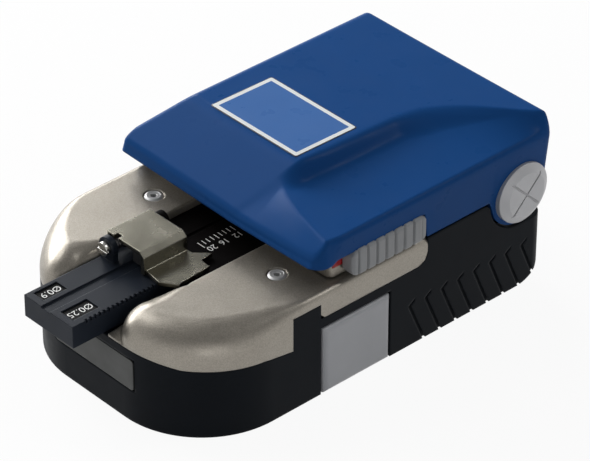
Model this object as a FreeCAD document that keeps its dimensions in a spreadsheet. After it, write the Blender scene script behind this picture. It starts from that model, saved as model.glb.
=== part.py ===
import FreeCAD, Part
import os

import Sketcher
from FreeCAD import Placement, Rotation, Vector

# A hand-held cleaver for optical fibre, in mm.  +Z is up, the fibre lies along Y and is
# fed in from -Y, and the blade wheel crosses under it along X.  The origin is the centre
# of the body's footprint, on the surface that the rubber sole stands on.

doc = FreeCAD.newDocument("fibre_cleaver")
sheet = doc.addObject("Spreadsheet::Sheet", "Dims")
nodes = {}


# ---------------------------------------------------------------- driving dimensions

class Size:
    """A length in mm, held as its value and as the sheet formula that gives it."""

    def __init__(self, value, formula=None):
        self.value = float(value)
        self.driven = formula is not None
        self.formula = formula or f"({float(value)!r})"

    def combine(self, other, sign, value):
        other = as_size(other)
        formula = f"({self.formula} {sign} {other.formula})"
        return Size(value, formula if self.driven or other.driven else None)

    def __add__(self, other):
        return self.combine(other, "+", self.value + as_size(other).value)

    def __sub__(self, other):
        return self.combine(other, "-", self.value - as_size(other).value)

    def __mul__(self, other):
        return self.combine(other, "*", self.value * as_size(other).value)

    def __truediv__(self, other):
        return self.combine(other, "/", self.value / as_size(other).value)

    def __radd__(self, other):
        return as_size(other) + self

    def __rsub__(self, other):
        return as_size(other) - self

    def __rmul__(self, other):
        return as_size(other) * self

    def __neg__(self):
        return self * -1


def as_size(number):
    return number if isinstance(number, Size) else Size(number)


def driving(name, value):
    """Adds one named cell to the sheet and returns it as a Size."""
    row = len(driving.names) + 1
    driving.names.append(name)
    sheet.set(f"A{row}", name)
    sheet.set(f"B{row}", str(value))
    sheet.setAlias(f"B{row}", name)
    return Size(value, f"Dims.{name}")


driving.names = []

half_width = driving("half_width", 27.5)
half_length = driving("half_length", 44.3)
shell_bottom = driving("shell_bottom", 0.1)
deck_top = driving("deck_top", 22.5)
deck_plate = driving("deck_plate", 2.0)
nose_radius = driving("nose_radius", 19.0)
tail_radius = driving("tail_radius", 3.0)
wall = driving("wall", 2.2)
keel_radius = driving("keel_radius", 7.0)
skirt_bottom = driving("skirt_bottom", 13.3)
rail_bottom = driving("rail_bottom", 17.2)
rail_front = driving("rail_front", -13.4)
rail_back = driving("rail_back", 13.3)
tab_front = driving("tab_front", -20.2)
tail_shelf = driving("tail_shelf", 14.5)
sole_half = driving("sole_half", 17.0)
sole_front = driving("sole_front", -30.0)
sole_back = driving("sole_back", 36.0)
sole_top = driving("sole_top", 1.1)
sole_corner = driving("sole_corner", 4.0)
channel_left = driving("channel_left", -11.0)
channel_right = driving("channel_right", 8.5)
deck_screw_x = driving("deck_screw_x", 17.25)
deck_screw_y = driving("deck_screw_y", -14.9)
hinge_y = driving("hinge_y", 37.2)
hinge_z = driving("hinge_z", 22.2)
hinge_pin_radius = driving("hinge_pin_radius", 1.5)
lobe_radius = driving("lobe_radius", 7.2)
cap_radius = driving("cap_radius", 6.3)
fibre_x = driving("fibre_x", -4.4)
fibre_z = driving("fibre_z", 21.3)
blade_y = driving("blade_y", 2.3)
blade_radius = driving("blade_radius", 6.5)
carriage_x = driving("carriage_x", 8.5)
rod_z = driving("rod_z", 11.0)
rod_radius = driving("rod_radius", 1.25)
rod_spread = driving("rod_spread", 4.6)
chassis_bottom = driving("chassis_bottom", 17.0)
chassis_top = driving("chassis_top", 18.8)
chassis_half = driving("chassis_half", 23.6)
guide_front = driving("guide_front", -51.5)
guide_top = driving("guide_top", 20.9)
clamp_axis_x = driving("clamp_axis_x", -9.0)
clamp_axis_z = driving("clamp_axis_z", 23.5)
drawer_front_y = driving("drawer_front_y", -13.0)
drawer_back_y = driving("drawer_back_y", 3.6)
frame_half = driving("frame_half", 25.2)
frame_front = driving("frame_front", -9.2)
frame_back = driving("frame_back", 31.0)
frame_bottom = driving("frame_bottom", 22.8)
frame_web = driving("frame_web", 26.4)
frame_top = driving("frame_top", 28.2)
cover_top = driving("cover_top", 37.3)
cover_wall = driving("cover_wall", 1.8)
label_front = driving("label_front", -1.4)
label_back = driving("label_back", 14.1)
label_half = driving("label_half", 11.9)


# ---------------------------------------------------------------- building helpers

def bind(thing, prop, size):
    """Sets a property to a size and, where the sheet drives it, keeps it bound."""
    size = as_size(size)
    setattr(thing, prop, size.value)
    if size.driven:
        thing.setExpression(prop, size.formula)


def place(thing, spot, turn=Rotation()):
    sizes = [as_size(number) for number in spot]
    thing.Placement = Placement(Vector(*[size.value for size in sizes]), turn)
    for letter, size in zip("xyz", sizes):
        if size.driven:
            thing.setExpression(f"Placement.Base.{letter}", size.formula)


def block(name, low, high):
    """A box from its lowest to its highest corner."""
    box = doc.addObject("Part::Box", name)
    for prop, start, end in zip(("Length", "Width", "Height"), low, high):
        bind(box, prop, as_size(end) - start)
    place(box, low)
    return box


AXIS_TURN = {"X": Rotation(Vector(0, 1, 0), 90), "Y": Rotation(Vector(1, 0, 0), -90), "Z": Rotation()}


def rod(name, axis, start, length, radius):
    """A cylinder that runs from start along +X, +Y or +Z."""
    cylinder = doc.addObject("Part::Cylinder", name)
    bind(cylinder, "Radius", radius)
    bind(cylinder, "Height", length)
    place(cylinder, start, AXIS_TURN[axis])
    return cylinder


def taper(name, axis, start, length, radius_start, radius_end):
    cone = doc.addObject("Part::Cone", name)
    bind(cone, "Radius1", radius_start)
    bind(cone, "Radius2", radius_end)
    bind(cone, "Height", length)
    place(cone, start, AXIS_TURN[axis])
    return cone


def fuse(name, parts):
    whole = doc.addObject("Part::MultiFuse", name)
    whole.Shapes = parts
    return whole


def cut(name, base, tools):
    piece = doc.addObject("Part::Cut", name)
    piece.Base = base
    piece.Tool = tools[0] if len(tools) == 1 else fuse(name + "_tools", tools)
    return piece


def group(name, parts):
    """Several like pieces kept as separate solids of one node."""
    whole = doc.addObject("Part::Compound", name)
    whole.Links = parts
    return whole


def node(label, thing):
    thing.Label = label
    nodes[label] = thing
    return thing


def new_body(name):
    return doc.addObject("PartDesign::Body", name)


def sketch_on(body, name, role, offset=0):
    """An empty sketch on one of the body's own origin planes, moved along its normal."""
    sketch = body.newObject("Sketcher::SketchObject", name)
    support = [item for item in body.Origin.OriginFeatures if item.Role == role][0]
    sketch.AttachmentSupport = (support, [""])
    sketch.MapMode = "FlatFace"
    offset = as_size(offset)
    sketch.AttachmentOffset = Placement(Vector(0, 0, offset.value), Rotation())
    if offset.driven:
        sketch.setExpression("AttachmentOffset.Base.z", offset.formula)
    return sketch


def fix_point(sketch, geometry, point, spot):
    """Dimensions one sketch point from the origin."""
    for kind, axis, number in (("DistanceX", -2, spot[0]), ("DistanceY", -1, spot[1])):
        size = as_size(number)
        if abs(size.value) < 1e-9:
            sketch.addConstraint(Sketcher.Constraint("PointOnObject", geometry, point, axis))
            continue
        if size.value > 0:
            ends = (-1, 1, geometry, point)
        else:
            ends = (geometry, point, -1, 1)
            size = -size
        index = sketch.addConstraint(Sketcher.Constraint(kind, *ends, size.value))
        if size.driven:
            sketch.setExpression(f"Constraints[{index}]", size.formula)


def polygon(sketch, corners):
    """A closed outline through the corners, each dimensioned from the origin."""
    first = sketch.GeometryCount
    spots = [Vector(as_size(across).value, as_size(along).value, 0) for across, along in corners]
    count = len(spots)
    sides = [Part.LineSegment(spots[side], spots[(side + 1) % count]) for side in range(count)]
    sketch.addGeometry(sides, False)
    for side in range(count):
        following = first + (side + 1) % count
        sketch.addConstraint(Sketcher.Constraint("Coincident", first + side, 2, following, 1))
    for side, corner in enumerate(corners):
        fix_point(sketch, first + side, 1, corner)


def rectangle(sketch, low, high):
    polygon(sketch, [low, (high[0], low[1]), high, (low[0], high[1])])


def circle(sketch, centre, radius):
    radius = as_size(radius)
    middle = Vector(as_size(centre[0]).value, as_size(centre[1]).value, 0)
    geometry = sketch.addGeometry(Part.Circle(middle, Vector(0, 0, 1), radius.value), False)
    fix_point(sketch, geometry, 3, centre)
    index = sketch.addConstraint(Sketcher.Constraint("Radius", geometry, radius.value))
    if radius.driven:
        sketch.setExpression(f"Constraints[{index}]", radius.formula)


def pad(body, sketch, length):
    feature = body.newObject("PartDesign::Pad", sketch.Name + "_pad")
    feature.Profile = sketch
    bind(feature, "Length", length)
    return feature


def pocket(body, sketch, length):
    """Cuts along the sketch's own normal and makes sure that something was cut."""
    doc.recompute()
    before = body.Shape.Volume
    feature = body.newObject("PartDesign::Pocket", sketch.Name + "_pocket")
    feature.Profile = sketch
    bind(feature, "Length", length)
    feature.Reversed = True
    doc.recompute()
    if body.Shape.Volume > before - 1e-3:
        raise RuntimeError(f"{sketch.Name} cuts nothing")
    return feature


def span(edge, axis):
    box = edge.BoundBox
    return {"x": (box.XMin, box.XMax), "y": (box.YMin, box.YMax), "z": (box.ZMin, box.ZMax)}[axis]


def lies_at(edge, axis, place_on_axis):
    low, high = span(edge, axis)
    return abs(low - place_on_axis) < 0.02 and abs(high - place_on_axis) < 0.02


def is_upright(edge):
    return all(span(edge, axis)[1] - span(edge, axis)[0] < 0.02 for axis in "xy")


def round_edges(body, name, radius, chosen):
    doc.recompute()
    base = body.Tip
    edges = [f"Edge{index + 1}" for index, edge in enumerate(base.Shape.Edges) if chosen(edge)]
    if not edges:
        raise RuntimeError(f"{name} finds no edge")
    feature = body.newObject("PartDesign::Fillet", name)
    feature.Base = (base, edges)
    bind(feature, "Radius", radius)
    return feature


def round_part(name, base, radius, chosen):
    """A Part::Fillet of the chosen edges of a primitive or boolean."""
    doc.recompute()
    feature = doc.addObject("Part::Fillet", name)
    feature.Base = base
    size = as_size(radius).value
    feature.Edges = [(index + 1, size, size) for index, edge in enumerate(base.Shape.Edges)
                     if chosen(edge)]
    return feature


# ---------------------------------------------------------------- base: lower shell

SHELL_POSTS = [(20.5, 15.5), (20.5, 31.0)]
SKIRT_RISE = [(-40.5, 15.0), (-27.0, 14.4)]
SKIRT_NOSE_Z = 16.1
TAB_TOP = 20.4
OUTSIDE = 60.0


def both_sides(spots):
    return [(side * across, along) for across, along in spots for side in (-1, 1)]


def front_part_line():
    """The line between the black shell and the deck's skirt, seen from the side."""
    return [(-half_length, SKIRT_NOSE_Z), *SKIRT_RISE, (tab_front, skirt_bottom),
            (tab_front, TAB_TOP), (rail_front, TAB_TOP), (rail_front, rail_bottom + 0.9),
            (rail_front + 0.9, rail_bottom), (rail_back - 2.4, rail_bottom),
            (rail_back - 0.7, rail_bottom + 0.7), (rail_back, rail_bottom + 2.4)]


def make_lower_shell():
    body = new_body("lower_shell_body")
    plan = sketch_on(body, "shell_plan", "XY_Plane", shell_bottom)
    rectangle(plan, (-half_width, -half_length), (half_width, half_length))
    pad(body, plan, deck_top - shell_bottom)
    inside = sketch_on(body, "shell_inside", "XY_Plane", shell_bottom + 2)
    inner = half_width - wall
    rectangle(inside, (-inner, -half_length + wall), (inner, half_length - wall))
    pocket(body, inside, deck_top)
    inner_nose = -(half_length - wall).value
    round_edges(body, "shell_inner_nose", nose_radius - wall,
                lambda edge: is_upright(edge) and lies_at(edge, "y", inner_nose))
    round_edges(body, "shell_inner_tail", tail_radius - wall,
                lambda edge: is_upright(edge) and lies_at(edge, "y", -inner_nose))
    for name, radius, y in (("shell_nose", nose_radius, -half_length.value),
                            ("shell_tail", tail_radius, half_length.value)):
        round_edges(body, name, radius, lambda edge, y=y: is_upright(edge) and lies_at(edge, "y", y))

    top_line = sketch_on(body, "shell_top_line", "YZ_Plane", -OUTSIDE)
    polygon(top_line, front_part_line() + [(rail_back, OUTSIDE), (-OUTSIDE, OUTSIDE),
                                           (-OUTSIDE, SKIRT_NOSE_Z)])
    pocket(body, top_line, 2 * OUTSIDE)
    lobe_room = sketch_on(body, "shell_lobe_room", "YZ_Plane", -OUTSIDE)
    circle(lobe_room, (hinge_y, hinge_z), hinge_z - tail_shelf)
    pocket(body, lobe_room, 2 * OUTSIDE)
    tail_room = sketch_on(body, "shell_tail_room", "YZ_Plane", -OUTSIDE)
    rectangle(tail_room, (hinge_y, tail_shelf), (OUTSIDE, OUTSIDE))
    pocket(body, tail_room, 2 * OUTSIDE)
    round_edges(body, "shell_shoulder", 1.6,
                lambda edge: span(edge, "y")[0] > 28 and lies_at(edge, "z", deck_top.value)
                and span(edge, "x")[1] - span(edge, "x")[0] > 1 and span(edge, "y")[1] < 31)

    for name, spots, top in (("shell_deck_posts", [(deck_screw_x, deck_screw_y)], deck_top - deck_plate),
                             ("shell_chassis_posts", SHELL_POSTS, chassis_bottom)):
        posts = sketch_on(body, name, "XY_Plane", shell_bottom + 2)
        for spot in both_sides(spots):
            circle(posts, spot, 2.4)
        pad(body, posts, top - shell_bottom - 2)
    screw_ways = sketch_on(body, "shell_screw_ways", "XY_Plane", 0)
    for spot in both_sides(SHELL_POSTS):
        circle(screw_ways, spot, 1.0)
    pocket(body, screw_ways, chassis_bottom)
    head_seats = sketch_on(body, "shell_head_seats", "XY_Plane", 0)
    for spot in both_sides(SHELL_POSTS):
        circle(head_seats, spot, 2.0)
    pocket(body, head_seats, shell_bottom + 1.5)
    deck_threads = sketch_on(body, "shell_deck_threads", "XY_Plane", deck_top - 10)
    for spot in both_sides([(deck_screw_x, deck_screw_y)]):
        circle(deck_threads, spot, 0.95)
    pocket(body, deck_threads, 10)
    sole_seat = sketch_on(body, "shell_sole_seat", "XY_Plane", 0)
    rectangle(sole_seat, (-sole_half - 0.1, sole_front - 0.1), (sole_half + 0.1, sole_back + 0.1))
    pocket(body, sole_seat, sole_top)
    round_edges(body, "shell_sole_corners", sole_corner + 0.1,
                lambda edge: is_upright(edge) and span(edge, "z")[1] < sole_top.value + 0.1)

    drawer_way = sketch_on(body, "shell_drawer_way", "YZ_Plane", half_width - wall)
    rectangle(drawer_way, (drawer_front_y - 0.4, -1), (drawer_back_y + 0.4, 15.1))
    pocket(body, drawer_way, 10)
    panel_seat = sketch_on(body, "shell_panel_seat", "XZ_Plane", half_length - 0.8)
    rectangle(panel_seat, (-11.2, 7.1), (11.2, 14.1))
    pocket(body, panel_seat, 5)
    for name, depth_start in (("shell_grip_right", half_width - 0.5), ("shell_grip_left", -half_width - 1)):
        groove = sketch_on(body, name, "YZ_Plane", depth_start)
        polygon(groove, [(12.7, -0.4), (8.6, 9.2), (10.4, 10.4), (10.2, 9.7), (9.3, 9.1), (13.4, -0.4)])
        feature = pocket(body, groove, 1.5)
        row = body.newObject("PartDesign::LinearPattern", name + "_row")
        row.Originals = [feature]
        along = [item for item in body.Origin.OriginFeatures if item.Role == "Y_Axis"][0]
        row.Direction = (along, [""])
        row.Length = 29.4
        row.Occurrences = 8
        body.Tip = row
    keel_y, keel_z = half_length - keel_radius, shell_bottom + keel_radius
    corner = block("keel_corner", (-half_width + 1, keel_y, shell_bottom + 1),
                   (half_width - 1, half_length - 1, keel_z))
    room = rod("keel_room", "X", (-half_width, keel_y, keel_z), half_width * 2, keel_radius - wall)
    waste = block("keel_waste", (-OUTSIDE, keel_y, -1), (OUTSIDE, half_length + 1, keel_z))
    keel = rod("keel_round", "X", (-OUTSIDE, keel_y, keel_z), 2 * OUTSIDE, keel_radius)
    filled = fuse("shell_filled", [body, cut("keel_fill", corner, [room])])
    node("lower_shell", cut("shell_with_keel", filled, [cut("keel_cutter", waste, [keel])]))


# ---------------------------------------------------------------- base: deck

RIB_FRONT = -7.8
RIB_BACK = -5.0


def make_top_shell():
    body = new_body("top_shell_body")
    plan = sketch_on(body, "deck_plan", "XY_Plane", skirt_bottom)
    rectangle(plan, (-half_width, -half_length), (half_width, rail_back))
    pad(body, plan, deck_top - skirt_bottom)
    inner = half_width - wall
    hollow = sketch_on(body, "deck_hollow", "XY_Plane", skirt_bottom - 1)
    rectangle(hollow, (-inner, -half_length + wall), (inner, RIB_FRONT))
    pocket(body, hollow, deck_top - deck_plate - skirt_bottom + 1)
    inner_nose = -(half_length - wall).value
    round_edges(body, "deck_inner_nose", nose_radius - wall,
                lambda edge: is_upright(edge) and lies_at(edge, "y", inner_nose))
    round_edges(body, "deck_nose", nose_radius,
                lambda edge: is_upright(edge) and lies_at(edge, "y", -half_length.value))
    round_edges(body, "deck_soft_edge", 3.0,
                lambda edge: lies_at(edge, "z", deck_top.value) and not lies_at(edge, "y", rail_back.value))
    under_rib = sketch_on(body, "deck_under_rib", "XY_Plane", skirt_bottom - 1)
    rectangle(under_rib, (-inner, RIB_FRONT), (inner, RIB_BACK))
    pocket(body, under_rib, 17.5 - skirt_bottom + 1)
    window = sketch_on(body, "deck_window", "XY_Plane", skirt_bottom - 1)
    rectangle(window, (-half_width + 3.5, RIB_BACK), (half_width - 3.5, rail_back + 5))
    pocket(body, window, 20)

    part_line = sketch_on(body, "deck_part_line", "YZ_Plane", -OUTSIDE)
    polygon(part_line, front_part_line() + [(OUTSIDE, rail_bottom), (OUTSIDE, 0), (-OUTSIDE, 0),
                                            (-OUTSIDE, SKIRT_NOSE_Z)])
    pocket(body, part_line, 2 * OUTSIDE)
    channel = sketch_on(body, "deck_channel", "XY_Plane", 0)
    rectangle(channel, (channel_left, -OUTSIDE), (channel_right, RIB_FRONT))
    pocket(body, channel, OUTSIDE)
    fibre_way = sketch_on(body, "deck_fibre_way", "XY_Plane", guide_top)
    rectangle(fibre_way, (channel_left, RIB_FRONT - 1), (channel_right, RIB_BACK + 1))
    pocket(body, fibre_way, 10)
    clear_holes = sketch_on(body, "deck_screw_holes", "XY_Plane", 0)
    for spot in both_sides([(deck_screw_x, deck_screw_y)]):
        circle(clear_holes, spot, 1.1)
    pocket(body, clear_holes, 30)
    head_seats = sketch_on(body, "deck_head_seats", "XY_Plane", deck_top - 1.2)
    for spot in both_sides([(deck_screw_x, deck_screw_y)]):
        circle(head_seats, spot, 1.95)
    pocket(body, head_seats, 5)
    return node("top_shell", body)


# ---------------------------------------------------------------- base: small fixed pieces

def make_sole():
    """A non-slip rubber sheet let into the underside."""
    sheet = block("sole_sheet", (-sole_half, sole_front, 0), (sole_half, sole_back, sole_top))
    node("rubber_sole", round_part("sole_round", sheet, sole_corner, is_upright))


def cap_screw(name, spot, head_bottom, head_radius, head_height, shank_radius, shank_length, up=True):
    """A socket-head screw along Z, with its hexagon socket."""
    across, along = spot
    head = rod(name + "_head", "Z", (across, along, head_bottom), head_height, head_radius)
    shank_start = as_size(head_bottom) - shank_length if up else as_size(head_bottom) + head_height
    shank = rod(name + "_shank", "Z", (across, along, shank_start), shank_length, shank_radius)
    socket = doc.addObject("Part::Prism", name + "_socket")
    socket.Polygon = 6
    socket.Circumradius = head_radius * 0.5
    socket.Height = head_height
    socket_bottom = as_size(head_bottom) + (head_height * 0.4 if up else -head_height * 0.4)
    place(socket, (across, along, socket_bottom))
    return cut(name, fuse(name + "_blank", [head, shank]), [socket])


def make_screws():
    deck = [cap_screw("deck_screw", spot, deck_top - 1.2, 1.7, 1.1, 0.95, 8.0)
            for spot in both_sides([(deck_screw_x, deck_screw_y)])]
    node("deck_screws", group("deck_screw_pair", deck))
    under = [cap_screw("base_screw", spot, shell_bottom + 0.3, 1.9, 1.2, 1.0, 17.0, up=False)
             for spot in both_sides(SHELL_POSTS)]
    node("base_screws", group("base_screw_set", under))


def make_nose_panel():
    panel = block("nose_panel_blank", (-11, -half_length, 7.3), (11, -half_length + 0.8, 13.9))
    node("nose_panel", round_part("nose_panel_round", panel, 0.6,
                                  lambda edge: span(edge, "y")[1] - span(edge, "y")[0] > 0.5))


def make_chassis():
    """A steel carrier that holds the rods, the lower clamps and the lid's hinge pin."""
    plate = block("chassis_plate", (-chassis_half, -4.8, chassis_bottom), (chassis_half, 34.2, chassis_top))
    parts = [plate]
    holes = []
    for side in (-1, 1):
        outer = chassis_half * side
        inner = (chassis_half - 1.8) * side
        low, high = (outer, inner) if side < 0 else (inner, outer)
        parts.append(block("rod_cheek", (low, blade_y - 6.9, 8.6), (high, blade_y + 6.9, chassis_bottom)))
        lug_start = as_size(18 if side > 0 else -22)
        parts.append(rod("hinge_lug", "X", (lug_start, hinge_y, hinge_z), 4, 4.2))
        parts.append(block("hinge_lug_foot", (lug_start, hinge_y - 4.1, chassis_top - 0.5),
                           (lug_start + 4, hinge_y - 2.7, hinge_z - 1)))
    holes.append(block("wheel_slot", (-18.6, blade_y - 1.3, 10), (15.6, blade_y + 1.3, 30)))
    holes.append(rod("hinge_bore", "X", (-30, hinge_y, hinge_z), 60, hinge_pin_radius))
    holes.append(block("chassis_window", (-16, 14, 10), (16, 29, 30)))
    for side in (-1, 1):
        holes.append(rod("rod_bore", "X", (-30, blade_y + rod_spread * side, rod_z), 60, rod_radius))
    for across, along in both_sides(SHELL_POSTS):
        holes.append(rod("chassis_screw_hole", "Z", (across, along, 10), 20, 1.0))
    node("chassis", cut("chassis_cut", fuse("chassis_blank", parts), holes))


def make_rear_apron():
    """The black hinge barrel behind the lid, with the trough that the lid's back edge swings in."""
    half = chassis_half + 0.2
    barrel = rod("apron_barrel", "X", (-half, hinge_y, hinge_z), half * 2, 4.9)
    drop = block("apron_drop", (-half, hinge_y - 1.2, 12.8), (half, hinge_y - 0.4, hinge_z - 4.4))
    floor = block("apron_floor", (-half, hinge_y - 1.2, 12.4), (half, half_length - wall - 0.4, 13.2))
    inside = rod("apron_inside", "X", (-half, hinge_y, hinge_z), half * 2, 4.35)
    front = block("apron_front", (-half, hinge_y - 9, hinge_z - 6), (half, hinge_y - 2.6, hinge_z + 6))
    node("rear_apron", cut("apron", fuse("apron_blank", [barrel, drop, floor]), [inside, front]))


def make_guide_rods():
    rods = [rod("guide_rod", "X", (-chassis_half, blade_y + rod_spread * side, rod_z),
                chassis_half * 2, rod_radius) for side in (-1, 1)]
    node("guide_rods", group("guide_rod_pair", rods))


CLAMP_LEFT = -9.0
CLAMP_RIGHT = 0.2
CLAMP_SPANS = {"front": (-4.4, 0.6), "rear": (4.0, 9.0)}


def make_lower_clamps():
    pads = []
    for place_name, (low, high) in CLAMP_SPANS.items():
        node(f"lower_clamp_{place_name}",
             block(f"lower_clamp_{place_name}_block", (CLAMP_LEFT, low, chassis_top),
                   (CLAMP_RIGHT, high, 20.6)))
        pads.append(block("lower_pad", (CLAMP_LEFT + 0.8, low + 0.4, 20.6),
                          (CLAMP_RIGHT - 0.8, high - 0.4, fibre_z - 0.15)))
    node("lower_pads", group("lower_pad_pair", pads))


BED_FRONT = -41.9
BED_STEP = -25.4


def make_scale_bed():
    """The black bed in the deck's channel: a low floor in front, the scale's table behind."""
    left, right = channel_left + 0.2, channel_right - 0.2
    floor = block("bed_floor", (left, BED_FRONT, 14.6), (right, -8.0, 16.0))
    table = block("bed_table", (left, BED_STEP, 15.8), (right, -8.0, 21.0))
    lug = rod("bed_lug", "Y", (clamp_axis_x, -21.2, clamp_axis_z), 1.8, 1.8)
    lug_foot = block("bed_lug_foot", (clamp_axis_x - 1.8, -21.2, 20.5),
                     (clamp_axis_x + 1.8, -19.4, clamp_axis_z))
    groove = block("bed_groove", (fibre_x - 0.4, -30, 20.75), (fibre_x + 0.4, 0, 22))
    bore = rod("bed_bore", "Y", (clamp_axis_x, -25, clamp_axis_z), 8, 0.8)
    node("scale_bed", cut("bed", fuse("bed_blank", [floor, table, lug, lug_foot]), [groove, bore]))


GUIDE_LEFT = -10.5
GUIDE_RIGHT = 3.2
GUIDE_BOTTOM = 16.2
LUG_FRONT = -33.3
LUG_THICK = 1.2
LUG_RADIUS = 2.1
INSERTS = [((-9.7, -50.0), (-6.7, -44.6)), ((-1.9, -50.0), (1.6, -44.0))]


def make_fibre_guide():
    """The tongue that carries the coated fibre: a groove, two number windows, a toothed edge."""
    bar = block("guide_bar", (GUIDE_LEFT, guide_front, GUIDE_BOTTOM), (GUIDE_RIGHT, -25.6, guide_top))
    lug_back = LUG_FRONT + LUG_THICK
    lug = rod("guide_lug", "Y", (clamp_axis_x, LUG_FRONT, clamp_axis_z), LUG_THICK, LUG_RADIUS)
    lug_foot = block("guide_lug_foot", (clamp_axis_x - 1.9, LUG_FRONT, 20),
                     (clamp_axis_x + 1.9, lug_back, clamp_axis_z))
    cuts = [block("guide_groove", (fibre_x - 1.25, -60, guide_top - 0.35), (fibre_x + 1.25, 0, 30)),
            rod("guide_bore", "Y", (clamp_axis_x, -40, clamp_axis_z), 10, 0.8)]
    for low, high in INSERTS:
        cuts.append(block("guide_window", (low[0], low[1], guide_top - 0.7), (high[0], high[1], 30)))
    for tooth in range(17):
        start = -48.4 + tooth * 1.05
        cuts.append(block("guide_tooth", (GUIDE_RIGHT - 0.45, start, guide_top - 0.6),
                          (10, start + 0.5, 30)))
    node("fibre_guide", cut("guide", fuse("guide_blank", [bar, lug, lug_foot]), cuts))
    plates = [block("size_insert", (low[0], low[1], guide_top - 0.7), (high[0], high[1], guide_top - 0.25))
              for low, high in INSERTS]
    node("size_inserts", group("size_insert_pair", plates))


def make_clamp_pin():
    shaft = rod("clamp_pin_shaft", "Y", (clamp_axis_x, LUG_FRONT - 0.2, clamp_axis_z), 13.9, 0.8)
    head = rod("clamp_pin_head", "Y", (clamp_axis_x, LUG_FRONT - 1.0, clamp_axis_z), 1.0, 1.4)
    slot = block("clamp_pin_slot", (clamp_axis_x - 2, LUG_FRONT - 1.6, clamp_axis_z - 0.2),
                 (clamp_axis_x + 2, LUG_FRONT - 0.6, clamp_axis_z + 0.2))
    node("clamp_pin", cut("clamp_pin_cut", fuse("clamp_pin_blank", [shaft, head]), [slot]))


def coil(label, radius, wire, pitch, turns, spot, turn):
    """A closed-ended coil of round wire, swept along a helix about its own Z."""
    path = Part.Wire(Part.makeHelix(pitch, pitch * turns, radius).Edges)
    section = Part.Wire(Part.makeCircle(wire, Vector(radius, 0, 0), Vector(0, 1, 0)))
    shape = path.makePipeShell([section], True, True)
    feature = doc.addObject("Part::Feature", label + "_coil")
    feature.Shape = shape
    feature.Placement = Placement(spot, turn)
    return node(label, feature)


def make_springs():
    lid_spot = Vector(-16.5, hinge_y.value, hinge_z.value)
    coil("lid_spring", 2.35, 0.4, 0.95, 11, lid_spot, AXIS_TURN["X"])
    clamp_spot = Vector(clamp_axis_x.value, LUG_FRONT + LUG_THICK + 0.25, clamp_axis_z.value)
    coil("clamp_spring", 1.06, 0.2, 0.5, 4, clamp_spot, AXIS_TURN["Y"])


def make_hinge():
    node("hinge_pin", rod("hinge_pin_rod", "X", (-26.9, hinge_y, hinge_z), 53.8, hinge_pin_radius))
    for side_name, side in (("left", -1), ("right", 1)):
        start = 26.9 * side
        length = 1.6
        disc_start = start if side > 0 else start - length
        disc = rod("cap_disc", "X", (disc_start, hinge_y, hinge_z), length, cap_radius)
        dome_start = start + length if side > 0 else start - length - 1.0
        radii = (cap_radius, cap_radius - 1.7) if side > 0 else (cap_radius - 1.7, cap_radius)
        dome = taper("cap_dome", "X", (dome_start, hinge_y, hinge_z), 1.0, *radii)
        outer_face = start + 2.6 * side
        grooves = []
        for angle in (45, 135):
            groove = doc.addObject("Part::Box", "cap_groove")
            groove.Length, groove.Width, groove.Height = 2.0, 20.0, 0.4
            turn = Rotation(Vector(1, 0, 0), angle)
            middle = Vector(outer_face + 0.6 * side, hinge_y.value, hinge_z.value)
            groove.Placement = Placement(middle + turn.multVec(Vector(-1, -10, -0.2)), turn)
            grooves.append(groove)
        node(f"hinge_cap_{side_name}", cut("cap", fuse("cap_blank", [disc, dome]), grooves))


# ---------------------------------------------------------------- carriage and blade

def make_carriage():
    low = (carriage_x - 9.5, blade_y - 7.2, 8.7)
    high = (carriage_x + 9.5, blade_y + 7.2, 13.4)
    parts = [block("carriage_table", low, high)]
    for side in (-1, 1):
        near, far = blade_y + 1.0 * side, blade_y + 3.2 * side
        start, end = (near, far) if side > 0 else (far, near)
        parts.append(block("carriage_cheek", (carriage_x - 3, start, 13), (carriage_x + 3, end, 16.6)))
    cuts = [block("carriage_slot", (carriage_x - 7, blade_y - 1.0, 0), (carriage_x + 7, blade_y + 1.0, 30)),
            rod("axle_bore", "Y", (carriage_x, blade_y - 5, fibre_z - blade_radius), 10, 1.2)]
    bushes = []
    for side in (-1, 1):
        line_y = blade_y + rod_spread * side
        cuts.append(rod("bush_bore", "X", (carriage_x - 12, line_y, rod_z), 24, 2.0))
        for start in (carriage_x - 9.5, carriage_x + 6.5):
            tube = rod("bush_tube", "X", (start, line_y, rod_z), 3, 2.0)
            hole = rod("bush_hole", "X", (start - 1, line_y, rod_z), 5, rod_radius + 0.05)
            bushes.append(cut("bush", tube, [hole]))
    node("carriage_block", cut("carriage", fuse("carriage_blank", parts), cuts))
    node("carriage_bushes", group("bush_set", bushes))
    node("blade_axle", rod("axle", "Y", (carriage_x, blade_y - 3.2, fibre_z - blade_radius), 6.4, 1.2))


def make_blade():
    centre_z = fibre_z - blade_radius
    hub = rod("hub_disc", "Y", (carriage_x, blade_y - 0.7, centre_z), 1.4, 2.6)
    hub_bore = rod("hub_bore", "Y", (carriage_x, blade_y - 2, centre_z), 4, 1.25)
    node("blade_hub", cut("hub", hub, [hub_bore]))
    lower = taper("wheel_bevel_front", "Y", (carriage_x, blade_y - 0.4, centre_z), 0.4,
                  blade_radius - 0.7, blade_radius)
    upper = taper("wheel_bevel_rear", "Y", (carriage_x, blade_y, centre_z), 0.4,
                  blade_radius, blade_radius - 0.7)
    wheel_bore = rod("wheel_bore", "Y", (carriage_x, blade_y - 2, centre_z), 4, 2.6)
    node("blade_wheel", cut("wheel", fuse("wheel_blank", [lower, upper]), [wheel_bore]))


# ---------------------------------------------------------------- offcut drawer

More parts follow.
